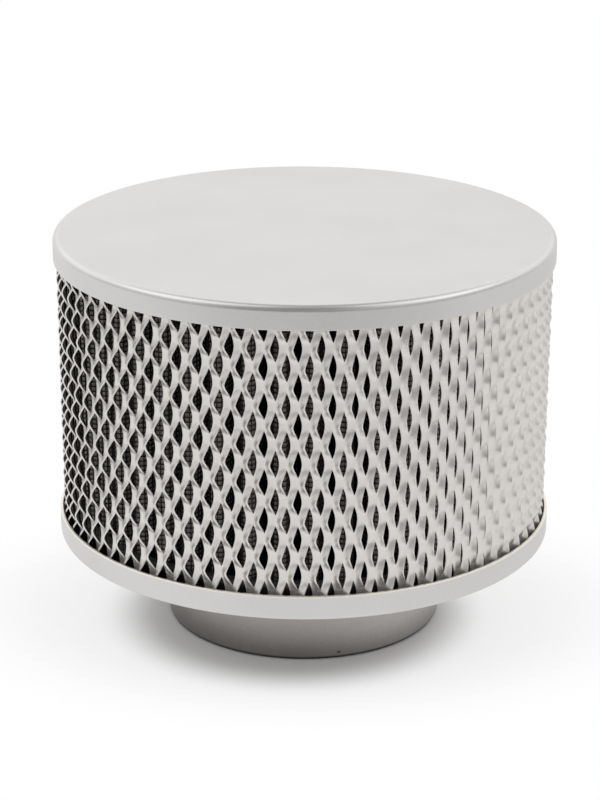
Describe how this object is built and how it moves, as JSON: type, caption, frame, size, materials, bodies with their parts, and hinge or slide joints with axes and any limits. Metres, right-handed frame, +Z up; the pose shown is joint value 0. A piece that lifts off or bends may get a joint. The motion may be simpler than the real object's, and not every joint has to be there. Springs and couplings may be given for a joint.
{
  "type": "carburetor air filter",
  "caption": "Round air filter for a carburetor: pleated element in an expanded-metal cage between pressed covers, with a plain slip-on neck.",
  "frame": {"origin": "centre of the neck's open end, on the plane that the filter stands on", "axes": "+Z up along the axis of the neck and the cage, towards the closed cover; +X and +Y across"},
  "size_m": [0.13, 0.13, 0.1054],
  "materials": {
    "satin_steel": "fine satin",
    "neck_steel": "dull satin",
    "cage_steel": "satin",
    "black_wire": "matt black coating on wire cloth",
    "grey_cloth": "matt woven cloth",
    "potting": "smooth moulded"
  },
  "bodies": {
    "root": {"top_cover": "satin_steel", "base_pan": "satin_steel", "neck": "neck_steel", "cage": "cage_steel", "outer_screen": "black_wire", "pleated_media": "grey_cloth", "inner_screen": "black_wire", "seam_clip": "satin_steel", "top_seal": "potting", "bottom_seal": "potting"}
  },
  "joints": []
}
